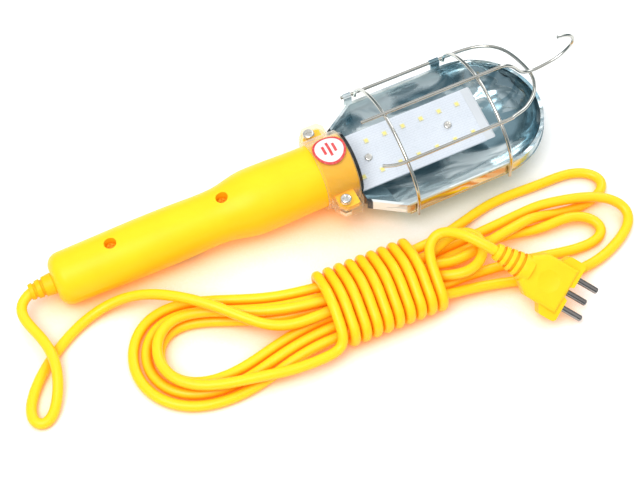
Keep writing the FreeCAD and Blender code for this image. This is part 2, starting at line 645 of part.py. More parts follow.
def led_chips():
    """Seven chips along the near edge and six along the far edge, set between them."""
    z = (BOARD_TOP_Z + 0.01, BOARD_TOP_Z + 0.7)
    chips = []
    for row_y, first_x, count in ((-LED_ROW_Y, 29.1, 7), (LED_ROW_Y, 41.1, 6)):
        for k in range(count):
            x = first_x + LED_PITCH * k
            chips.append(box((x - 1.4, x + 1.4), (row_y - 1.5, row_y + 1.5), z))
    return compound(chips)


def board_screws():
    tip_z = BOARD_TOP_Z - BOARD_THICK - 2.3
    return compound(pan_screw(x, 0, BOARD_TOP_Z + 0.02, 2.6, 1.5, BOARD_SCREW_R, tip_z)
                    for x in BOARD_SCREW_X)


def driver_board():
    return rod(14.8, V(DRIVER_X - 1.65, 0, 0), V(DRIVER_X - GAP, 0, 0))


def driver_capacitor():
    return rod(4.6, V(DRIVER_X, 6.5, -2), V(DRIVER_X + 10.85, 6.5, -2))


def driver_inductor():
    """Flanged core with its winding."""
    length = 8.85

    def turned_part(radius, x0, x1):
        return rod(radius, V(DRIVER_X + x0, -6.5, 0), V(DRIVER_X + x1, -6.5, 0))

    return joined([turned_part(2.6, 0, length), turned_part(4.2, 1.2, length - 1.2),
                   turned_part(5.0, 0, 1.2), turned_part(5.0, length - 1.2, length)])


# Plug ---------------------------------------------------------------------------------------------------
def upright(edge):
    return abs(edge.tangentAt(edge.FirstParameter).z) > 0.5


def plug_tail():
    """Tapering strain relief with four ring grooves."""
    tail = turned_chain([(PLUG_CORD_END, 0), (PLUG_CORD_END, 5.0), (-31, 8.6), (-28, 8.6), (-28, 0)])
    grooves = [tube(12, 4.3 + 0.75 * k, -48.4 + 4.2 * k, -46.7 + 4.2 * k) for k in range(4)]
    return cut_all(tail, grooves)


def plug_core():
    """Thick middle of the moulding, rounded along its upper and lower edges."""
    plan = [(-32, -8.5), (-24, -14.2), (-NOTCH, -15.0), (-NOTCH, 15.0), (-24, 14.2), (-32, 8.5)]
    core = polygon_prism(plan, -PLUG_HALF_THICK, PLUG_HALF_THICK)
    return core.makeFillet(3.0, [edge for edge in core.Edges if not upright(edge)])


def plug_wings():
    """Thin finger grips on both sides of the pin face, which has a notch round the middle pin."""
    half_width = PIN_PITCH + 9.9
    half = [(0, 4.2), (0, half_width), (-11, half_width), (-14.5, 14.0)]
    plan = [(-NOTCH, -3.2), (-NOTCH, 3.2)] + half + mirrored(half, -1)[::-1]
    wings = polygon_prism(plan, -4.6, 4.6)
    corners = [edge for edge in wings.Edges if upright(edge) and abs(edge.CenterOfMass.y) > half_width - 0.1]
    return wings.makeFillet(2.6, corners)


def pin_place(k):
    """Where a pin leaves the moulding, along and across the plug; the middle pin stands back in the notch."""
    return (-NOTCH if k == 0 else 0.0), k * PIN_PITCH


def plug_body():
    """Moulded plug pointing along +X, with a shallow thumb dish on top."""
    body = joined([plug_core(), plug_wings(), plug_tail()])
    dish_r = 26.0
    dish = Part.makeSphere(dish_r, V(-16, 0, PLUG_HALF_THICK + dish_r - 1.0), V(0, 1, 0))
    cord_bore = rod(CORD_R + 0.2, V(PLUG_CORD_END - 1, 0, 0), V(-30, 0, 0))
    sockets = []
    for k in (-1, 0, 1):
        face, y = pin_place(k)
        sockets.append(rod(PIN_ROOT_R + GAP, V(-10, y, 0), V(face + 1, y, 0)))
        sockets.append(rod(PIN_R + 0.15, V(face - 0.5, y, 0), V(face + 1, y, 0)))
    return cut_all(body, [dish, cord_bore] + sockets)


def plug_pins():
    """Round pins with a thinner root that stands in a shallow round recess of the moulding."""
    pins = []
    for k in (-1, 0, 1):
        face, y = pin_place(k)
        root = rod(PIN_ROOT_R, V(-9.5, y, 0), V(face + PIN_SHOULDER + 0.1, y, 0))
        pin = rod(PIN_R, V(face + PIN_SHOULDER, y, 0), V(face + PIN_LENGTH, y, 0))
        tip = [edge for edge in pin.Edges if abs(edge.CenterOfMass.x - face - PIN_LENGTH) < 1e-6]
        pins.append(joined([pin.makeFillet(1.0, tip), root]))
    return compound(pins)


def plug_rotation():
    """Attitude of the plug as it leans on the coil: heading, then nose-down dip, then roll about itself."""
    heading = FreeCAD.Rotation(V(0, 0, 1), PLUG_HEADING)
    dip = FreeCAD.Rotation(V(0, 1, 0), PLUG_DIP)
    roll = FreeCAD.Rotation(V(1, 0, 0), PLUG_ROLL)
    return heading.multiply(dip).multiply(roll)


PLUG = FreeCAD.Placement(PLUG_FACE, plug_rotation())


# Power cord, in floor axes ------------------------------------------------------------------------------
WAIST_HALF = 35.0             # the coil is narrow over this distance each side of its middle
LOW = CORD_R + 0.1            # cord centre when it lies on the floor
FIRST_LAYER = LOW + STRAND    # strands at the waist are lifted by the wrap that passes under them
SECOND_LAYER = FIRST_LAYER + STRAND
SLOTS = (17.6, 10.5, 3.5)     # offsets of the first layer's strands from the coil's centre line
NODE = 3.0                    # spacing of the points that are nudged apart
CLEAR = 2 * CORD_R + 0.85     # least distance between two nudged points of different strands
ROUNDS = 80
SPANS_PER_FACE = 40


def coil_middle(x):
    """y of the coil's bowed centre line."""
    return -84 + 14 * (x / 118) ** 2 if x < 0 else -84 + 2 * (x / 145) ** 2


def eased(t):
    t = min(max(t, 0.0), 1.0)
    return t * t * (3 - 2 * t)


def strand(slot, spread, height, xs):
    """Points on a strand that is at offset slot in the waist and spreads and drops towards the coil's end."""
    points = []
    for x in xs:
        away = eased((abs(x) - WAIST_HALF) / 75)
        drop = STRAND * eased((abs(x) - WAIST_HALF) / 55)
        points.append(V(x, coil_middle(x) + slot + (spread - slot) * away, height - drop))
    return points


def end_turn(centre_x, start_offset, end_offset, side, height):
    """Half turn at one end of the coil, between two offsets from the centre line on opposite sides."""
    points = []
    for k in range(1, 6):
        angle = math.pi * k / 6
        middle = (start_offset + end_offset) / 2
        radius = (start_offset - end_offset) / 2
        x = centre_x + side * abs(radius) * math.sin(angle)
        points.append(V(x, coil_middle(centre_x) + middle + radius * math.cos(angle), height))
    return points


# Ends of the two loops that lie on the right, from the near strand round to the far strand
WIDE_END = [V(88, -109, LOW), V(118, -117, LOW), V(143, -115, LOW), V(163, -106, LOW),
            V(176, -94, LOW + 2), V(168, -83, LOW + 6), V(150, -75, LOW + 8), V(125, -69, LOW + 6),
            V(100, -68, LOW + 3)]
NARROW_END = [V(90, -97, LOW + 2), V(118, -101, LOW), V(142, -104, LOW), V(156, -98, LOW),
              V(152, -89, LOW + 2), V(122, -80.5, LOW + 4), V(92, -78, LOW + 4)]


def coil():
    """Loops of the coil: each far strand runs left, turns, and comes back along the near side."""
    waist = (25, 8, -8, -25)
    left = (-60, -90)
    points = strand(-3.6, -3.6, SECOND_LAYER, (-60, -25, -8, 8, 25))
    points += [V(60, -85, LOW + 10), V(98, -79, LOW + 11), V(132, -76.5, LOW + 1), V(160, -75.5, LOW),
               V(175, -66, LOW), V(166, -54, LOW), V(140, -51, LOW)]
    points += strand(SLOTS[0], 33.0, FIRST_LAYER, (100, 65))
    for loop, radius in enumerate((36.0, 28.5, 21.0)):
        far, near = SLOTS[loop], -SLOTS[loop]
        points += strand(far, far, FIRST_LAYER, waist)
        points += strand(far, radius, FIRST_LAYER, left)
        points += end_turn(-112, radius, -radius, -1, LOW)
        points += strand(near, -radius, FIRST_LAYER, left[::-1] + waist[::-1])
        if loop < 2:
            points += (WIDE_END, NARROW_END)[loop]
    points += [V(39, -90, LOW + 10), V(50, -97, LOW + 14), V(62, -98, LOW + 15), V(71, -92, LOW + 17),
               V(75, -82, LOW + 18), V(70, -72, LOW + 18), V(57, -71, LOW + 17), V(42, -77, SECOND_LAYER)]
    points += strand(3.6, 3.6, SECOND_LAYER, waist) + strand(3.6, 24, SECOND_LAYER, left)
    points += end_turn(-108, 25, -27, -1, LOW + STRAND)
    points += [V(-86, -106, LOW + STRAND), V(-60, -111, LOW + STRAND), V(-40, -111, LOW + STRAND)]
    return points


def wraps():
    """Turns that bind the waist: up the near side, over the top and back underneath."""
    centres = [(-SLOTS[0], FIRST_LAYER), (-3.6, SECOND_LAYER), (3.6, SECOND_LAYER), (SLOTS[0], FIRST_LAYER)]
    corners = [V(0, y, z) for y, z in centres]
    outline = Part.makePolygon(corners + corners[:1]).makeOffset2D(STRAND)
    steps = 12
    ring = outline.discretize(steps + 1)[:-1]
    nearest = min(range(steps), key=lambda k: ring[k].y)
    if ring[(nearest + 1) % steps].z < ring[nearest].z:
        ring = ring[::-1]
        nearest = steps - 1 - nearest
    pitch = STRAND * 0.96
    points = []
    for k in range(steps * WRAP_TURNS + 4):
        place = ring[(nearest + k) % steps]
        points.append(V(WRAP_START_X + pitch * k / steps, coil_middle(0) + place.y, place.z))
    return points


def nudged_apart(points, held_start, held_end):
    """Eases the path until no strand sinks into another or into the floor; the held ends stay put."""
    nodes = [list(p) for p in points]
    last = len(nodes) - held_end
    apart = int(5 * CORD_R / NODE)
    for _ in range(ROUNDS):
        cells = {}
        for i, p in enumerate(nodes):
            cells.setdefault(tuple(int(c // CLEAR) for c in p), []).append(i)
        shift = [[0.0, 0.0, 0.0] for _ in nodes]
        for i, p in enumerate(nodes):
            cell = [int(c // CLEAR) for c in p]
            for step in range(27):
                key = (cell[0] + step % 3 - 1, cell[1] + step // 3 % 3 - 1, cell[2] + step // 9 - 1)
                for j in cells.get(key, ()):
                    if j - i < apart:
                        continue
                    away = [a - b for a, b in zip(p, nodes[j])]
                    distance = math.sqrt(sum(a * a for a in away)) or 1.0
                    if distance < CLEAR:
                        push = 0.4 * (CLEAR - distance) / distance
                        for axis in range(3):
                            shift[i][axis] += push * away[axis]
                            shift[j][axis] -= push * away[axis]
        previous = [list(p) for p in nodes]
        for i in range(held_start, last):
            for axis in range(3):
                middle = (previous[i - 1][axis] + previous[i + 1][axis]) / 2
                nodes[i][axis] += shift[i][axis] + 0.1 * (middle - previous[i][axis])
            nodes[i][2] = max(nodes[i][2], LOW)
    return [V(*p) for p in nodes]


def cord_points():
    """Points on the centre line of the whole cord, from the clamp in the grip to the plug's moulding."""
    inside = [REST.multVec(V(x, 0, 0)) for x in (-143.5, -151, -158, -165, -172, -179, -185, -190)]
    lead = [V(-196.5, -3, 14), V(-197.5, -10, 12), V(-192.5, -22, 10.8), V(-187.5, -40, 10.6),
            V(-188.5, -56, 9), V(-193.5, -67, 5), V(-199.5, -78, LOW), V(-206.5, -83.5, LOW),
            V(-213, -78, LOW), V(-210.5, -66, LOW), V(-201, -52, LOW), V(-186, -38.5, LOW),
            V(-168, -27, LOW), V(-150, -22, 6), V(-132, -25, 12), V(-112, -38, 18), V(-86, -62, 19)]
    tail = [V(46, -70, 31), V(57, -79.5, 36)] + [PLUG.multVec(V(x, 0, 0)) for x in (-60, -52, -45, -38, -31)]
    rough = spline(inside + lead + coil() + wraps() + tail)
    count = round(rough.Length / NODE)
    points = nudged_apart(rough.discretize(count), round(46 / NODE), round(24 / NODE))
    return points[:-2:2] + points[-1:]


def round_tube(centres, radius):
    """Solid tube through closely spaced centres, as exact circles carried along without twist.

    Nine rails follow the control points of a circle made of four quarter arcs; every second rail is a corner.
    """
    corner = math.sqrt(0.5)
    normal = (centres[1] - centres[0]).cross(V(0, 0, 1)).normalize()
    rails = [[] for _ in range(9)]
    for before, centre, after in zip(centres[:1] + centres, centres, centres[1:] + centres[-1:]):
        along = (after - before).normalize()
        normal = (normal - along * normal.dot(along)).normalize()
        other = along.cross(normal)
        for k, rail in enumerate(rails):
            angle = math.pi / 4 * k
            reach = radius / corner if k % 2 else radius
            rail.append(centre + (normal * math.cos(angle) + other * math.sin(angle)) * reach)
    curves = []
    for rail in rails:
        curve = Part.BSplineCurve()
        curve.interpolate(Points=rail, Parameters=[float(i) for i in range(len(centres))])
        curves.append(curve)
    lengthwise = curves[0]
    poles = [[curve.getPole(i + 1) for curve in curves] for i in range(lengthwise.NbPoles)]
    weights = [[corner if k % 2 else 1.0 for k in range(9)] for _ in poles]
    surface = Part.BSplineSurface()
    surface.buildFromPolesMultsKnots(poles, lengthwise.getMultiplicities(), [3, 2, 2, 2, 3],
                                     lengthwise.getKnots(), [0.0, 0.25, 0.5, 0.75, 1.0],
                                     False, False, 3, 2, weights)
    faces = []
    last = len(centres) - 1
    for start in range(0, last, SPANS_PER_FACE):
        piece = surface.copy()
        piece.segment(start, min(start + SPANS_PER_FACE, last), 0, 1)
        faces.append(piece.toShape())
    for centre, face in ((centres[0], faces[0]), (centres[-1], faces[-1])):
        rim = min(face.Edges, key=lambda edge: (edge.CenterOfMass - centre).Length)
        faces.append(Part.Face(Part.Wire([rim])))
    shell = Part.makeShell(faces)
    shell.sewShape()
    return Part.makeSolid(shell)


def power_cord():
    return round_tube(cord_points(), CORD_R)


# Assembly -----------------------------------------------------------------------------------------------
LAMP_PARTS = {
    "handle_upper_shell": handle_upper_shell,
    "handle_lower_shell": handle_lower_shell,
    "handle_screws": handle_screws,
    "cord_boot": cord_boot,
    "cord_clamp": cord_clamp,
    "cord_clamp_screws": cord_clamp_screws,
    "lampholder_body": lampholder_body,
    "lampholder_screw_shell": lampholder_screw_shell,
    "lampholder_centre_contact": lampholder_centre_contact,
    "lampholder_terminal_screws": lampholder_terminal_screws,
    "live_wire": lambda: core_wire(1),
    "neutral_wire": lambda: core_wire(-1),
    "switch_housing": switch_housing,
    "switch_pivot": switch_pivot,
    "switch_rocker": switch_rocker,
    "collar_upper": lambda: collar_half(1),
    "collar_lower": lambda: collar_half(-1),
    "collar_screws": collar_screws,
    "collar_nuts": collar_nuts,
    "label": label,
    "reflector": reflector,
    "guard_loop": guard_loop,
    "guard_rear_hoop": lambda: guard_hoop(HOOP_X[0]),
    "guard_front_hoop": lambda: guard_hoop(HOOP_X[1]),
    "guard_spine_hook": guard_spine_hook,
}
BULB_PARTS = {
    "bulb_cap_shell": bulb_cap_shell,
    "bulb_cap_insulator": bulb_cap_insulator,
    "bulb_tip_contact": bulb_tip_contact,
    "bulb_housing": bulb_housing,
    "bulb_heatsink": bulb_heatsink,
    "bulb_end_cap": bulb_end_cap,
    "led_board": led_board,
    "led_chips": led_chips,
    "board_screws": board_screws,
    "driver_board": driver_board,
    "driver_capacitor": driver_capacitor,
    "driver_inductor": driver_inductor,
}
PLUG_PARTS = {"plug_body": plug_body, "plug_pins": plug_pins}


def build():
    """Every node's shape in floor axes."""
    shapes = {name: make() for name, make in LAMP_PARTS.items()}
    for name, make in BULB_PARTS.items():
        shapes[name] = make()
        shapes[name].rotate(V(0, 0, 0), V(1, 0, 0), BULB_TURN)
    for shape in shapes.values():
        shape.Placement = REST.multiply(shape.Placement)
    for name, make in PLUG_PARTS.items():
        shapes[name] = make()
        shapes[name].Placement = PLUG.multiply(shapes[name].Placement)
    shapes["power_cord"] = power_cord()
    return shapes


def footprint_centre(shapes):
    """Point of the floor under the middle of everything."""
    bounds = FreeCAD.BoundBox()
    for shape in shapes.values():
        bounds.add(shape.optimalBoundingBox(True, False))
    return V(bounds.Center.x, bounds.Center.y, bounds.ZMin)


def main():
    os.makedirs("parts", exist_ok=True)
    shapes = build()
    origin = footprint_centre(shapes)
    for name, shape in shapes.items():
        shape.translate(origin * -1)
        shape.exportStep(os.path.join("parts", name + ".step"))


if __name__ == "__main__":
    main()
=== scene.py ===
import json
import math

import bpy
import numpy as np
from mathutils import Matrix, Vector, kdtree


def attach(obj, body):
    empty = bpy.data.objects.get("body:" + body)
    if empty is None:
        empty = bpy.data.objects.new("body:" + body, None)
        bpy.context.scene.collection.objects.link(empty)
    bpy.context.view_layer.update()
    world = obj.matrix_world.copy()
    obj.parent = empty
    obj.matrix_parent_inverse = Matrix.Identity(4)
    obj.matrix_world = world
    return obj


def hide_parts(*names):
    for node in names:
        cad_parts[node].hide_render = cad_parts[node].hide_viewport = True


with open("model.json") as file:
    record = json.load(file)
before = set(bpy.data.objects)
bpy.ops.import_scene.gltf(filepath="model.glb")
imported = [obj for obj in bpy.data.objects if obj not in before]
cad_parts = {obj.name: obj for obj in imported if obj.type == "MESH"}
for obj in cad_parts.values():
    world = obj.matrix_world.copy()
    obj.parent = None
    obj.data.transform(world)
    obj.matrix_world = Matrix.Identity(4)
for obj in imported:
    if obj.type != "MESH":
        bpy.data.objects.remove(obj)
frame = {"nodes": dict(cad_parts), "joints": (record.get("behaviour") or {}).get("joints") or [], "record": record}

MM = 0.001

# The lamp's own axes, as in the CAD: +X from grip to hook, +Z the side that shines, origin at the collar's
# rear face.
JOINTS = {joint["name"]: joint for joint in frame["joints"]}
LAMP_ORIGIN = Vector(JOINTS["bulb_unscrew"]["pos_m"])
LAMP_X = Vector(JOINTS["bulb_unscrew"]["axis"]).normalized()
LAMP_Y = Vector((0, 1, 0))
LAMP_Z = LAMP_X.cross(LAMP_Y)
BULB_TURN = math.radians(12)          # how far round the screwed-in bulb has stopped

# Sizes taken over from the CAD, in millimetres
CORD_R = 3.2
CORD_START_X = -143.0
WIRE_R = 1.1
HOOP_X = (48.7, 112.4)
LOOP_REAR_X = 46.0                    # the guard's near leg is straight from here to the front hoop
HINGE = (46.4, 2.5)                   # y and z of the guard's hinge wire
SPINE_Z = 35.65
LOOP_TIP = (151.5, 0.4, 17.6)         # where the hook's wire crosses the loop's round end
LABEL_CENTRE = (10.75, 0, 22.8)
COLLAR_END_X = 21.5
SKIRT_Y = 43.7                        # inner face of the reflector's down-turned rim
BOARD_CENTRE_X = 60
BOARD_TOP_Z = -5.0
LED_TOP_Z = BOARD_TOP_Z + 0.7
LED_ROWS = ((-11.0, 29.1, 7), (11.0, 41.1, 6))    # y, first x and number of chips
LED_PITCH = 12.9

# Sizes that belong to the looks alone, in millimetres
# painted light on the reflector: its mouth painted dark, its near wall painted brighter and its round end painted
# darker
MOUTH_END_X = 25.0                    # the reflector is dark from the collar to here
NEAR_WALL_Y = (-10.0, -28.0)          # the near wall of the trough brightens over this width
BOWL_END_X = (105.0, 140.0)           # the round end of the trough darkens over this length
LABEL_BORDER_R = 8.9                  # the red border runs from here past the label's edge
LABEL_BARS = ((-3.4, 3.2), (0.0, 5.2), (3.4, 3.2))    # place along the lamp and half length
LABEL_BAR_HALF_WIDTH = 0.9
GEL_SIZES = (1.05, 1.15, 0.16)        # half axes of the domed gel in an LED
CORD_SPACING = 2.2                    # distance between two rings of the cord's skin
CORD_SIDES = 20
CORD_TEXTURE_LENGTH = 100.0           # cord length that makes one unit of its texture coordinate

# Walk along the inside of the CAD cord, in millimetres
WALK_STEP = 1.2                       # least distance to the next ring
WALK_REACHES = (9, 50)                # straight stretches of the mesh have few rings, so it looks further
CONE_START = 0.6
CONE_SLOPE = 0.45
SAME_RING = 0.7                       # points this close along the heading belong to one ring
HEADING_MEMORY = 0.3                  # share of the old heading kept at each step

# Half widths of the rounded edges put on CAD pieces, in millimetres
EDGE_ROUNDING = {"plug_body": 0.9, "cord_boot": 0.35, "collar_upper": 0.35, "collar_lower": 0.35,
                 "bulb_end_cap": 0.3, "switch_rocker": 0.3, "switch_housing": 0.3}
BEVEL_ANGLE = math.radians(35)        # edges sharper than this are rounded
CREASE_ANGLE = math.radians(32)       # edges sharper than this stay crisp in the shading

YELLOW = (0.96, 0.60, 0.010)
YELLOW_LIGHT = (0.96, 0.72, 0.018)
# painted shade colours for corners, recesses and faces that look down: the handle's, then the cord's, boot's and
# plug's
YELLOW_HANDLE_PAINTED_SHADE = (0.96, 0.44, 0.006)
YELLOW_PAINTED_SHADE = (0.95, 0.34, 0.006)
# strength of the painted orange glow that lights the yellow parts' own shadows
YELLOW_PAINTED_GLOW = 0.10
SOFT_SPECULAR = 0.18                  # reflection strength of the yellow mouldings

# Camera and lights, in metres and watts
CAMERA_TURN = math.radians(-24.7)
CAMERA_TILT = math.radians(55)
CAMERA_DISTANCE = 0.891
CAMERA_LENS = 78.75
CAMERA_SHIFT = (0.0081, -0.0625)
FLOOR_SIZE = 8
SKY_STRENGTH = 0.85
SKY_STOPS = ((0.0, (0.30, 0.34, 0.36)), (0.25, (0.16, 0.22, 0.25)), (0.5, (0.35, 0.42, 0.45)),
             (0.7, (0.95, 0.97, 1.0)), (1.0, (1, 1, 1)))


def lamp(x, y, z):
    """Point given in the lamp's own axes, in millimetres, as a point of the row frame in metres."""
    return LAMP_ORIGIN + (LAMP_X * x + LAMP_Y * y + LAMP_Z * z) * MM


def bulb(x, y, z):
    """Point given in the bulb's own axes, which are turned about the lamp's axis."""
    c, s = math.cos(BULB_TURN), math.sin(BULB_TURN)
    return lamp(x, y * c - z * s, y * s + z * c)


# Material building --------------------------------------------------------------------------------------
class Paint:
    """One node material around a Principled shader, with short calls for the usual nodes."""

    def __init__(self, name):
        self.material = bpy.data.materials.new(name)
        self.material.use_nodes = True
        self.tree = self.material.node_tree
        self.shader = self.tree.nodes["Principled BSDF"]
        self.place = self.node("ShaderNodeTexCoord").outputs["Object"]

    def node(self, kind, **settings):
        made = self.tree.nodes.new(kind)
        for key, value in settings.items():
            setattr(made, key, value)
        return made

    def feed(self, socket, value):
        """Links an output to an input, or sets the input to a number or colour."""
        if isinstance(value, bpy.types.NodeSocket):
            self.tree.links.new(value, socket)
        elif isinstance(value, (tuple, list)) and len(value) == 3 and len(socket.default_value) == 4:
            socket.default_value = (*value, 1.0)
        else:
            socket.default_value = value

    def set(self, **values):
        """Feeds the shader's inputs, named with underscores for spaces."""
        for key, value in values.items():
            self.feed(self.shader.inputs[key.replace("_", " ")], value)

    def stretched(self, x, y, z, source=None):
        """Texture coordinate scaled along each axis."""
        mapping = self.node("ShaderNodeMapping")
        self.feed(mapping.inputs["Vector"], source or self.place)
        mapping.inputs["Scale"].default_value = (x, y, z)
        return mapping.outputs["Vector"]

    def noise(self, scale, detail, vector=None, distortion=0.0):
        noise = self.node("ShaderNodeTexNoise")
        self.feed(noise.inputs["Vector"], vector or self.place)
        noise.inputs["Scale"].default_value = scale
        noise.inputs["Detail"].default_value = detail
        noise.inputs["Distortion"].default_value = distortion
        return noise.outputs["Fac"]

    def math(self, operation, a, b=0.0, clamp=False):
        node = self.node("ShaderNodeMath", operation=operation, use_clamp=clamp)
        self.feed(node.inputs[0], a)
        self.feed(node.inputs[1], b)
        return node.outputs[0]

    def spread(self, value, low, high, to_low=0.0, to_high=1.0):
        """Maps low..high to to_low..to_high, clamped at both ends."""
        node = self.node("ShaderNodeMapRange")
        self.feed(node.inputs["Value"], value)
        node.inputs["From Min"].default_value = low
        node.inputs["From Max"].default_value = high
        node.inputs["To Min"].default_value = to_low
        node.inputs["To Max"].default_value = to_high
        return node.outputs["Result"]

    def mix(self, share, a, b):
        node = self.node("ShaderNodeMix", data_type="RGBA")
        self.feed(node.inputs[0], share)
        self.feed(node.inputs[6], a)
        self.feed(node.inputs[7], b)
        return node.outputs[2]

    def bump(self, height, strength, distance):
        node = self.node("ShaderNodeBump")
        self.feed(node.inputs["Height"], height)
        node.inputs["Strength"].default_value = strength
        node.inputs["Distance"].default_value = distance
        self.feed(self.shader.inputs["Normal"], node.outputs["Normal"])

    def upward(self):
        """1 on faces that look up, -1 on faces that look down."""
        split = self.node("ShaderNodeSeparateXYZ")
        self.feed(split.inputs[0], self.node("ShaderNodeNewGeometry").outputs["Normal"])
        return split.outputs["Z"]

    def glow(self, strength):
        """Painted glow: an orange emission that brightens the part's own shadows, with a little real scattering
        under the skin.
        """
        self.set(Emission_Color=(1.0, 0.38, 0.0), Emission_Strength=strength)
        self.set(Subsurface_Weight=0.12, Subsurface_Radius=(1.0, 0.4, 0.05), Subsurface_Scale=0.003)

    def crevice(self, reach, own=True):
        """0 in corners and between strands, 1 in the open; other pieces count only when own is off."""
        node = self.node("ShaderNodeAmbientOcclusion", samples=4, only_local=own)
        node.inputs["Distance"].default_value = reach
        return node.outputs["AO"]


def moulded(name, colour, shade, roughness=0.32, grain=0.12, glow=0.0):
    """Moulded plastic or rubber: cloudy colour with painted shade in corners and on faces that look down, fine
    skin and scuffs.

    A painted orange glow stands for the light that a see-through yellow plastic carries into its own shadows.
    """
    p = Paint(name)
    cloud = p.spread(p.noise(38, 5), 0.35, 0.65)
    tone_and_painted_shade = p.mix(p.math("MULTIPLY", cloud, 0.16), colour, shade)
    # painted shade: faces that look down are mixed towards the shade colour
    tone_and_painted_shade = p.mix(p.spread(p.upward(), -0.5, 0.75), p.mix(0.45, colour, shade), tone_and_painted_shade)
    # painted shade: corners and recesses take the shade colour
    corner = p.spread(p.crevice(0.006), 0.35, 0.95)
    tone_and_painted_shade = p.mix(corner, shade, tone_and_painted_shade)
    scuff = p.spread(p.noise(90, 8, p.stretched(1, 6, 1), 1.5), 0.62, 0.72)
    peel = p.noise(1400, 2)
    p.set(Base_Color=tone_and_painted_shade, Roughness=p.math("ADD", p.math("MULTIPLY", scuff, 0.16), roughness))
    if glow:
        p.glow(glow)
        p.set(Specular_IOR_Level=SOFT_SPECULAR)
    p.bump(p.math("ADD", peel, p.math("MULTIPLY", scuff, 0.6)), grain, 0.0002)
    return p.material


def metal(name, colour, roughness=0.12, scratches=0.25, tarnish=None, metallic=1.0):
    """Plated or bare metal: cloudy sheen, hair scratches and, where given, a duller tarnish colour."""
    p = Paint(name)
    cloud = p.spread(p.noise(60, 4), 0.35, 0.7)
    fine = p.noise(900, 6, p.stretched(0.05, 1, 1))
    hair = p.spread(fine, 0.45, 0.75)
    base = p.mix(p.math("MULTIPLY", cloud, 0.6), colour, tarnish or tuple(c * 0.82 for c in colour))
    rough = p.math("ADD", p.math("MULTIPLY", cloud, roughness * 0.8), roughness * 0.6)
    rough = p.math("ADD", rough, p.math("MULTIPLY", hair, 0.05))
    p.set(Base_Color=base, Metallic=metallic, Roughness=rough)
    p.bump(hair, scratches * 0.3, 0.0001)
    return p.material


def reflector_metal():
    """Pressed and plated sheet: slow waves, draw lines and painted reflections in cool light and dark patches.

    It is lacquered yellow under the collar, with painted shade dark at the trough's mouth and a painted warm
    reflection on the near skirt; the near wall is painted brighter and the round end darker.
    """
    p = Paint("reflector_chrome")
    wave = p.noise(26, 2, p.stretched(0.6, 1.2, 1.2), 0.6)
    draw = p.noise(700, 3, p.stretched(0.04, 1, 1))
    # painted reflection: cool light and dark patches of the surroundings, also used for the roughness
    patch = p.spread(p.noise(34, 3, p.stretched(0.5, 1.3, 1.3), 1.2), 0.43, 0.58)
    along, across = from_point(p, LAMP_ORIGIN)
    # painted reflection: brighter towards the near wall, darker towards the round end
    near_wall = p.spread(across, *NEAR_WALL_Y, 0.0, 0.7)
    bowl_end = p.spread(along, *BOWL_END_X, 0.0, 0.55)
    light = p.math("SUBTRACT", p.math("ADD", p.math("MULTIPLY", patch, 0.85), near_wall), bowl_end, True)
    painted_light_tint = p.mix(light, (0.22, 0.34, 0.39), (0.93, 1.0, 1.0))
    bare = p.spread(along, COLLAR_END_X - 0.5, COLLAR_END_X + 0.5)
    # painted reflection: warm gold on the near skirt
    skirt = p.spread(across, 0.3 - SKIRT_Y, -SKIRT_Y)
    painted_light_tint = p.mix(p.math("MULTIPLY", skirt, 0.75), painted_light_tint, (0.74, 0.58, 0.24))
    # painted shade: nearly black at the trough's mouth
    mouth = p.spread(along, MOUTH_END_X, MOUTH_END_X - 0.5)
    painted_light_tint = p.mix(mouth, painted_light_tint, (0.05, 0.055, 0.06))
    # the bright painted patches are made less metallic
    dull = p.math("MAXIMUM", skirt, p.spread(light, 0.2, 1.0, 1.0, 0.5))
    p.set(Base_Color=p.mix(bare, YELLOW, painted_light_tint), Metallic=p.math("MULTIPLY", bare, dull),
          Roughness=p.spread(patch, 0, 1, 0.20, 0.10))
    p.bump(p.math("ADD", p.math("MULTIPLY", wave, 14.0), p.math("MULTIPLY", draw, 0.05)), 0.35, 0.001)
    return p.material


def cord_jacket():
    """Soft glossy cord: extrusion lines along its length, slow colour drift, small handling marks, painted shade
    underneath and between strands, and a painted orange glow.
    """
    p = Paint("cord_jacket")
    uv = p.node("ShaderNodeUVMap").outputs["UV"]
    line = p.noise(60, 3, p.stretched(0.4, 14, 1, uv))
    drift = p.spread(p.noise(18, 3), 0.3, 0.7)
    corner = p.spread(p.crevice(0.008), 0.25, 0.9)
    base = p.mix(p.math("MULTIPLY", drift, 0.4), YELLOW_LIGHT, YELLOW)
    # painted shade: the yellow is deepened on faces that look down and between strands
    base = p.mix(p.spread(p.upward(), -0.6, 0.7), p.mix(0.55, YELLOW, YELLOW_PAINTED_SHADE), base)
    base = p.mix(corner, YELLOW_PAINTED_SHADE, base)
    mark = p.spread(p.noise(150, 6), 0.66, 0.74)
    base = p.mix(p.math("MULTIPLY", mark, 0.12), base, (0.55, 0.30, 0.02))
    p.set(Base_Color=base, Roughness=p.spread(p.noise(70, 4), 0.3, 0.7, 0.26, 0.40))
    # painted glow: an orange emission lights the cord's own shadows
    p.glow(YELLOW_PAINTED_GLOW)
    p.set(Specular_IOR_Level=0.3)
    p.bump(p.math("ADD", line, p.math("MULTIPLY", p.noise(900, 2), 0.4)), 0.10, 0.0002)
    return p.material


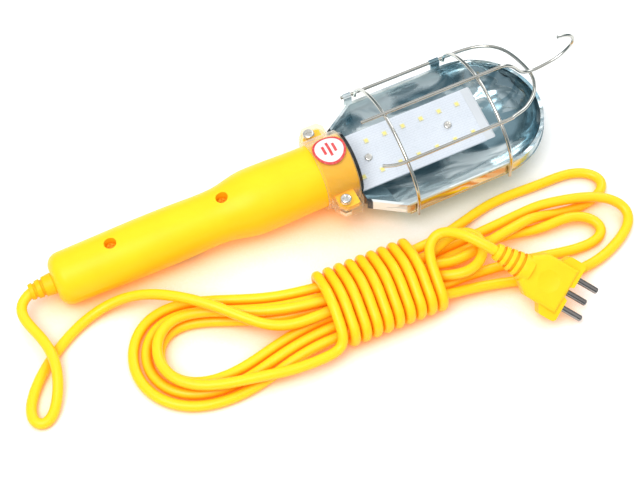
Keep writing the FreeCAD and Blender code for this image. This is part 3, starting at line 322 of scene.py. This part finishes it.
def clear_plastic():
    """Clear moulded plastic: see-through face-on, whiter and shinier towards its edges, with flow lines."""
    p = Paint("clear_plastic")
    flow = p.noise(120, 4, p.stretched(1, 3, 1), 1.0)
    p.set(Base_Color=p.mix(flow, (0.95, 0.92, 0.84), (1.0, 0.98, 0.92)), Specular_IOR_Level=0.8)
    p.set(Roughness=p.spread(flow, 0.3, 0.7, 0.05, 0.16))
    p.bump(flow, 0.12, 0.0004)
    facing = p.node("ShaderNodeLayerWeight")
    facing.inputs["Blend"].default_value = 0.45
    through = p.node("ShaderNodeBsdfTransparent")
    through.inputs["Color"].default_value = (1.0, 0.95, 0.82, 1.0)
    blend = p.node("ShaderNodeMixShader")
    share = p.spread(facing.outputs["Facing"], 0.3, 1.0, 0.04, 0.6)
    p.feed(blend.inputs[0], share)
    p.feed(blend.inputs[1], through.outputs[0])
    p.feed(blend.inputs[2], p.shader.outputs[0])
    p.feed(p.tree.nodes["Material Output"].inputs["Surface"], blend.outputs[0])
    return p.material


def from_point(p, centre):
    """Distances in millimetres from a point of the row frame, along the lamp's X and across it."""
    away = p.node("ShaderNodeVectorMath", operation="SUBTRACT")
    p.feed(away.inputs[0], p.place)
    away.inputs[1].default_value = centre
    parts = []
    for axis in (LAMP_X, LAMP_Y):
        dot = p.node("ShaderNodeVectorMath", operation="DOT_PRODUCT")
        p.feed(dot.inputs[0], away.outputs[0])
        dot.inputs[1].default_value = axis / MM
        parts.append(dot.outputs["Value"])
    return parts


def label_paper():
    """White sticker with a red border and three plain bars in place of print."""
    p = Paint("label_paper")
    along, across = from_point(p, lamp(*LABEL_CENTRE))
    squares = [p.math("MULTIPLY", side, side) for side in (along, across)]
    radius = p.math("SQRT", p.math("ADD", *squares))
    soft = 0.15

    def band(value, low, high):
        rise = p.spread(value, low - soft, low + soft)
        return p.math("MULTIPLY", rise, p.spread(value, high - soft, high + soft, 1.0, 0.0))

    ink = p.spread(radius, LABEL_BORDER_R - soft, LABEL_BORDER_R + soft)
    for offset, half in LABEL_BARS:
        length = band(across, -half, half)
        width = band(along, offset - LABEL_BAR_HALF_WIDTH, offset + LABEL_BAR_HALF_WIDTH)
        ink = p.math("MAXIMUM", ink, p.math("MULTIPLY", length, width))
    worn_ink = p.math("MULTIPLY", ink, p.spread(p.noise(900, 3), 0.2, 0.5, 0.75, 1.0))
    paper = p.mix(p.noise(300, 5), (0.88, 0.86, 0.84), (0.95, 0.94, 0.93))
    p.set(Base_Color=p.mix(worn_ink, paper, (0.75, 0.05, 0.05)),
          Roughness=p.spread(worn_ink, 0, 1, 0.42, 0.30))
    p.bump(p.math("ADD", p.noise(700, 4), worn_ink), 0.08, 0.0002)
    return p.material


def board_white():
    """White solder mask with faint raised tracks under it."""
    p = Paint("board_white")
    along, across = from_point(p, bulb(BOARD_CENTRE_X, 0, BOARD_TOP_Z))
    place = p.node("ShaderNodeCombineXYZ")
    p.feed(place.inputs[0], along)
    p.feed(place.inputs[1], across)
    bricks = p.node("ShaderNodeTexBrick")
    p.feed(bricks.inputs["Vector"], place.outputs[0])
    bricks.inputs["Scale"].default_value = 0.16
    bricks.inputs["Mortar Size"].default_value = 0.03
    bricks.inputs["Color1"].default_value = (1, 1, 1, 1)
    bricks.inputs["Color2"].default_value = (1, 1, 1, 1)
    bricks.inputs["Mortar"].default_value = (0, 0, 0, 1)
    track = bricks.outputs["Fac"]
    mask = p.mix(p.noise(120, 4), (0.70, 0.75, 0.82), (0.78, 0.82, 0.88))
    p.set(Base_Color=p.mix(p.math("MULTIPLY", track, 0.22), mask, (0.45, 0.49, 0.54)),
          Roughness=p.spread(p.noise(200, 3), 0.3, 0.7, 0.25, 0.4))
    p.bump(p.math("SUBTRACT", p.math("MULTIPLY", p.noise(900, 2), 0.3), track), 0.25, 0.0001)
    return p.material


def phosphor():
    """LED face: yellow gel with a granular look, some grains paler."""
    p = Paint("led_gel")
    grain = p.noise(2500, 3)
    p.set(Base_Color=p.mix(grain, (0.93, 0.78, 0.16), (0.97, 0.88, 0.34)),
          Roughness=p.spread(grain, 0, 1, 0.15, 0.4))
    p.bump(grain, 0.2, 0.0001)
    return p.material


def ceramic(name, colour):
    """Glazed or moulded body with fine specks and a slightly uneven surface."""
    p = Paint(name)
    speck = p.spread(p.noise(500, 3), 0.68, 0.74)
    base = p.mix(p.noise(40, 3), colour, tuple(c * 0.93 for c in colour))
    p.set(Base_Color=p.mix(p.math("MULTIPLY", speck, 0.3), base, (0.45, 0.40, 0.34)),
          Roughness=p.spread(p.noise(80, 4), 0.3, 0.7, 0.12, 0.3))
    p.bump(p.noise(60, 3), 0.1, 0.0005)
    return p.material


def floor_material():
    """Pale seamless paper that glows a little, with painted shadow next to the pieces: warm orange beside the
    yellow parts and grey-olive under the guard.
    """
    p = Paint("floor_paper")
    paper = p.mix(p.noise(3, 2), (0.94, 0.94, 0.94), (0.96, 0.96, 0.96))
    along, across = from_point(p, LAMP_ORIGIN)
    # painted shadow colour: grey-olive under the guard, warm orange elsewhere near the pieces
    under_guard = p.math("MULTIPLY", p.spread(along, 5.0, 45.0), p.spread(across, -75.0, -50.0))
    painted_shadow_colour = p.mix(under_guard, (1.0, 0.45, 0.03), (0.50, 0.51, 0.38))
    # painted shadow: the floor takes that colour close to other pieces
    open_floor = p.spread(p.crevice(0.042, False), 0.05, 0.80)
    colour = p.mix(open_floor, painted_shadow_colour, paper)
    p.set(Base_Color=colour, Roughness=0.9, Specular_IOR_Level=0.1)
    # the painted shadow colour glows along with the paper
    p.set(Emission_Color=colour, Emission_Strength=0.2)
    p.bump(p.noise(600, 3), 0.02, 0.0002)
    return p.material


def materials():
    """One material for each material slot of the record."""
    return {
        "handle_plastic": moulded("handle_plastic", YELLOW_LIGHT, YELLOW_HANDLE_PAINTED_SHADE, 0.36, 0.12, YELLOW_PAINTED_GLOW),
        "boot_rubber": moulded("boot_rubber", YELLOW, YELLOW_PAINTED_SHADE, 0.42, 0.12, YELLOW_PAINTED_GLOW),
        "plug_rubber": moulded("plug_rubber", YELLOW_LIGHT, YELLOW_PAINTED_SHADE, 0.40, 0.2, YELLOW_PAINTED_GLOW),
        "cord_jacket": cord_jacket(),
        "clear_plastic": clear_plastic(),
        "label_paper": label_paper(),
        "steel_screw": metal("steel_screw", (0.80, 0.79, 0.76), 0.30, 0.5, (0.62, 0.60, 0.54)),
        # the screws' deep orange partly paints in the shade of the recesses they sit in
        "yellow_zinc": metal("yellow_zinc", (0.95, 0.38, 0.01), 0.5, 0.5, (0.88, 0.30, 0.01), 0.25),
        "guard_chrome": metal("guard_chrome", (0.66, 0.65, 0.60), 0.13, 0.2, (0.50, 0.49, 0.43)),
        "reflector_chrome": reflector_metal(),
        "pin_metal": metal("pin_metal", (0.34, 0.31, 0.29), 0.20, 0.4, (0.20, 0.18, 0.17)),
        "brass_parts": metal("brass_parts", (0.80, 0.58, 0.25), 0.22, 0.4, (0.55, 0.38, 0.16)),
        "white_ceramic": ceramic("white_ceramic", (0.90, 0.89, 0.86)),
        "white_plastic": moulded("white_plastic", (0.70, 0.73, 0.76), (0.52, 0.55, 0.58), 0.35, 0.1),
        "black_plastic": moulded("black_plastic", (0.020, 0.020, 0.022), (0.008, 0.008, 0.009), 0.42, 0.3),
        "red_insulation": moulded("red_insulation", (0.30, 0.08, 0.04), (0.16, 0.04, 0.02), 0.45, 0.1),
        "blue_insulation": moulded("blue_insulation", (0.04, 0.14, 0.48), (0.02, 0.07, 0.25), 0.45, 0.1),
        "board_white": board_white(),
        "board_green": moulded("board_green", (0.05, 0.26, 0.10), (0.02, 0.14, 0.05), 0.35, 0.1),
        "led_phosphor": ceramic("led_package", (0.92, 0.86, 0.50)),
        "copper_winding": metal("copper_winding", (0.75, 0.36, 0.18), 0.3, 0.6, (0.5, 0.2, 0.1)),
    }


# Pieces -------------------------------------------------------------------------------------------------
def mesh_object(name, vertices, faces, material):
    """Smooth-shaded object in the scene, with one material."""
    mesh = bpy.data.meshes.new(name)
    mesh.from_pydata([tuple(v) for v in vertices], [], faces)
    mesh.materials.append(material)
    mesh.shade_smooth()
    made = bpy.data.objects.new(name, mesh)
    bpy.context.scene.collection.objects.link(made)
    return made


def points_ahead(tree, here, heading):
    """Middle points in a narrow cone ahead, with their distances along the heading."""
    ahead = []
    for reach in WALK_REACHES:
        for co, _, _ in tree.find_range(here, reach * MM):
            away = Vector(co) - here
            forward = away.dot(heading)
            aside = (away - heading * forward).length
            if forward > WALK_STEP * MM and aside < CONE_START * MM + CONE_SLOPE * forward:
                ahead.append((forward, Vector(co)))
        if ahead:
            break
    return ahead


def cord_centres():
    """Points along the middle of the CAD cord, every few millimetres, found by walking inside its skin."""
    mesh = frame["nodes"]["power_cord"].data
    count = len(mesh.vertices)
    skin = np.zeros(count * 3)
    mesh.vertices.foreach_get("co", skin)
    normals = np.zeros(count * 3)
    mesh.vertices.foreach_get("normal", normals)
    middle = (skin - normals * CORD_R * MM).reshape(-1, 3)
    tree = kdtree.KDTree(count)
    for i, point in enumerate(middle):
        tree.insert(point, i)
    tree.balance()
    here = lamp(CORD_START_X, 0, 0)
    heading = -LAMP_X
    centres = [np.array(here)]
    while True:
        ahead = points_ahead(tree, here, heading)
        if not ahead:
            break
        nearest = min(ahead, key=lambda item: item[0])[0]
        group = [co for forward, co in ahead if forward < nearest + SAME_RING * MM]
        target = sum(group, Vector()) / len(group)
        heading = (heading * HEADING_MEMORY + (target - here).normalized()).normalized()
        here = target
        centres.append(np.array(target))
    return np.array(centres)


def evenly_spaced(points, spacing):
    """The same line with points at equal distances."""
    travelled = np.concatenate([[0], np.cumsum(np.linalg.norm(np.diff(points, axis=0), axis=1))])
    places = np.linspace(0, travelled[-1], round(travelled[-1] / spacing))
    return np.stack([np.interp(places, travelled, points[:, axis]) for axis in range(3)], axis=1)


def eased_line(points, rounds):
    """The same line with its small jitter averaged away."""
    for _ in range(rounds):
        points[1:-1] = points[1:-1] * 0.5 + (points[:-2] + points[2:]) * 0.25
    return points


def tube_along(name, centres, radius, sides, material):
    """Round skin along a line, with a lengthwise and a round-the-cord texture coordinate."""
    along = np.gradient(centres, axis=0)
    along /= np.linalg.norm(along, axis=1)[:, None]
    travelled = np.concatenate([[0], np.cumsum(np.linalg.norm(np.diff(centres, axis=0), axis=1))])
    normal = np.cross(along[0], (0, 0, 1))
    angles = np.arange(sides) * 2 * np.pi / sides
    rings = []
    for centre, direction in zip(centres, along):
        normal = normal - direction * (normal @ direction)
        normal /= np.linalg.norm(normal)
        other = np.cross(direction, normal)
        ring = centre + radius * (np.outer(np.cos(angles), normal) + np.outer(np.sin(angles), other))
        rings.append(ring)
    vertices = np.concatenate(rings)
    faces = []
    for i in range(len(centres) - 1):
        for k in range(sides):
            a, b = i * sides + k, i * sides + (k + 1) % sides
            faces.append((a, b, b + sides, a + sides))
    last = (len(centres) - 1) * sides
    faces.append(tuple(range(sides))[::-1])
    faces.append(tuple(range(last, last + sides)))
    made = mesh_object(name, vertices, faces, material)
    layer = made.data.uv_layers.new(name="UVMap")
    uv = []
    for i in range(len(centres) - 1):
        for k in range(sides):
            for ring, side in ((i, k), (i, k + 1), (i + 1, k + 1), (i + 1, k)):
                uv += [travelled[ring] / (CORD_TEXTURE_LENGTH * MM), side / sides]
    uv += [0.0, 0.0] * (2 * sides)
    layer.data.foreach_set("uv", uv)
    return made


def power_cord(paints):
    """Round skin along the CAD cord, which it replaces."""
    centres = eased_line(evenly_spaced(cord_centres(), CORD_SPACING * MM), 2)
    cord = tube_along("cord_skin", centres, CORD_R * MM, CORD_SIDES, paints["cord_jacket"])
    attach(cord, "lamp")
    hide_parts("power_cord")


def blob(centre, sizes, axes, rings=8, sides=14):
    """Vertices and faces of an ellipsoid with its own axes."""
    vertices, faces = [], []
    for i in range(rings + 1):
        tilt = math.pi * i / rings
        for k in range(sides):
            turn = 2 * math.pi * k / sides
            local = (math.sin(tilt) * math.cos(turn), math.sin(tilt) * math.sin(turn), math.cos(tilt))
            offset = sum((axis * (size * share) for axis, size, share in zip(axes, sizes, local)), Vector())
            vertices.append(centre + offset * MM)
    for i in range(rings):
        for k in range(sides):
            a, b = i * sides + k, i * sides + (k + 1) % sides
            faces.append((a, b, b + sides, a + sides))
    return vertices, faces


def gathered(parts):
    """Joins lists of (vertices, faces) into one list of each."""
    vertices, faces = [], []
    for more_vertices, more_faces in parts:
        start = len(vertices)
        vertices += more_vertices
        faces += [tuple(start + i for i in face) for face in more_faces]
    return vertices, faces


def weld_beads(paints):
    """Small spot-weld swellings where the guard's wires cross."""
    near = near_leg()
    axes = (LAMP_X, LAMP_Y, LAMP_Z)
    beads = []
    for x in HOOP_X:
        beads.append(blob(lamp(x, 0, SPINE_Z - WIRE_R), (1.7, 1.5, 0.9), axes))
        beads.append(blob(lamp(x, HINGE[0] - WIRE_R, HINGE[1]), (1.7, 0.9, 1.5), axes))
        beads.append(blob(lamp(x, near[0] + 0.6, near[1] - 0.95), (1.6, 1.1, 1.1), axes))
    beads.append(blob(lamp(*LOOP_TIP), (1.3, 1.5, 0.9), axes))
    vertices, faces = gathered(beads)
    made = mesh_object("guard_weld_beads", vertices, faces, paints["guard_chrome"])
    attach(made, "guard")


def near_leg():
    """y and z of the guard's near leg in the lamp's axes, read from the CAD's wire."""
    ys, zs = [], []
    for vertex in frame["nodes"]["guard_loop"].data.vertices:
        away = (vertex.co - LAMP_ORIGIN) / MM
        y = away.dot(LAMP_Y)
        if LOOP_REAR_X < away.dot(LAMP_X) < HOOP_X[1] and y < 0:
            ys.append(y)
            zs.append(away.dot(LAMP_Z))
    return (min(ys) + max(ys)) / 2, (min(zs) + max(zs)) / 2


def led_gel(paints):
    """Slightly domed yellow gel in the face of each LED package."""
    across = (LAMP_Y * math.cos(BULB_TURN) + LAMP_Z * math.sin(BULB_TURN))
    up = LAMP_X.cross(across)
    gels = []
    for row_y, first_x, count in LED_ROWS:
        for k in range(count):
            centre = bulb(first_x + LED_PITCH * k, row_y, LED_TOP_Z - 0.02)
            gels.append(blob(centre, GEL_SIZES, (LAMP_X, across, up), 6, 12))
    vertices, faces = gathered(gels)
    made = mesh_object("led_gel_domes", vertices, faces, phosphor())
    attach(made, "bulb")


def soften_edges(name, width):
    """Fine rounded edges that catch the light, on a CAD piece's own mesh."""
    node = frame["nodes"][name]
    weld = node.modifiers.new("weld", "WELD")
    weld.merge_threshold = 0.01 * MM
    bevel = node.modifiers.new("edge", "BEVEL")
    bevel.width = width * MM
    bevel.segments = 2
    bevel.limit_method = "ANGLE"
    bevel.angle_limit = BEVEL_ANGLE
    flatten = node.modifiers.new("flatten", "WEIGHTED_NORMAL")
    flatten.keep_sharp = True


def paint_cad(paints):
    """Gives every CAD node the material of its slot and smooth shading with crisp edges."""
    slots = {part["node"]: part["material_slot"] for part in frame["record"]["subparts"]}
    for name, node in frame["nodes"].items():
        node.data.materials.clear()
        node.data.materials.append(paints[slots[name]])
        node.data.shade_smooth()
        node.data.set_sharp_from_angle(angle=CREASE_ANGLE)
    for name, width in EDGE_ROUNDING.items():
        soften_edges(name, width)


# Studio -------------------------------------------------------------------------------------------------
def area_light(name, place, aim, size, power, colour):
    """Square soft light that faces the point aim."""
    data = bpy.data.lights.new(name, "AREA")
    data.energy = power
    data.color = colour
    data.size = size
    made = bpy.data.objects.new(name, data)
    made.location = place
    made.rotation_euler = (Vector(aim) - Vector(place)).to_track_quat("-Z", "Y").to_euler()
    bpy.context.scene.collection.objects.link(made)


def studio():
    """Seamless pale floor and two soft lights."""
    bpy.ops.mesh.primitive_plane_add(size=FLOOR_SIZE, location=(0, 0, 0))
    floor = bpy.context.object
    floor.name = "floor"
    floor.data.materials.append(floor_material())
    area_light("key", (-0.5, -0.35, 1.3), (0.0, 0.0, 0.0), 0.9, 13, (1, 1, 1))
    area_light("fill", (1.0, 0.7, 0.9), (0.05, 0.0, 0.0), 0.7, 5, (0.93, 0.97, 1.0))


def sky():
    """Surroundings, bright above and darker at the sides, for the chrome to mirror."""
    world = bpy.data.worlds.new("studio")
    bpy.context.scene.world = world
    world.use_nodes = True
    tree = world.node_tree
    background = tree.nodes["Background"]
    direction = tree.nodes.new("ShaderNodeTexCoord")
    split = tree.nodes.new("ShaderNodeSeparateXYZ")
    tree.links.new(direction.outputs["Generated"], split.inputs[0])
    ramp = tree.nodes.new("ShaderNodeValToRGB")
    stops = ramp.color_ramp.elements
    stops[0].color = (*SKY_STOPS[0][1], 1)
    stops[1].color = (*SKY_STOPS[-1][1], 1)
    for position, colour in SKY_STOPS[1:-1]:
        stops.new(position).color = (*colour, 1)
    tree.links.new(split.outputs["Z"], ramp.inputs["Fac"])
    tree.links.new(ramp.outputs["Color"], background.inputs["Color"])
    background.inputs["Strength"].default_value = SKY_STRENGTH


def camera():
    """Looks down steeply at the collar from the left of the coil side."""
    level = math.cos(CAMERA_TILT)
    back = Vector((math.sin(CAMERA_TURN) * level, -math.cos(CAMERA_TURN) * level, math.sin(CAMERA_TILT)))
    aim = Vector((LAMP_ORIGIN.x, LAMP_ORIGIN.y, 0))
    data = bpy.data.cameras.new("camera")
    data.lens = CAMERA_LENS
    data.sensor_width = 36
    data.shift_x, data.shift_y = CAMERA_SHIFT
    data.clip_start = 0.01
    made = bpy.data.objects.new("camera", data)
    made.location = aim + back * CAMERA_DISTANCE
    made.rotation_euler = (-back).to_track_quat("-Z", "Y").to_euler()
    bpy.context.scene.collection.objects.link(made)
    bpy.context.scene.camera = made


def main():
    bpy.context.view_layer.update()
    bpy.context.scene.view_settings.view_transform = "Standard"
    paints = materials()
    paint_cad(paints)
    power_cord(paints)
    weld_beads(paints)
    led_gel(paints)
    studio()
    sky()
    camera()


main()
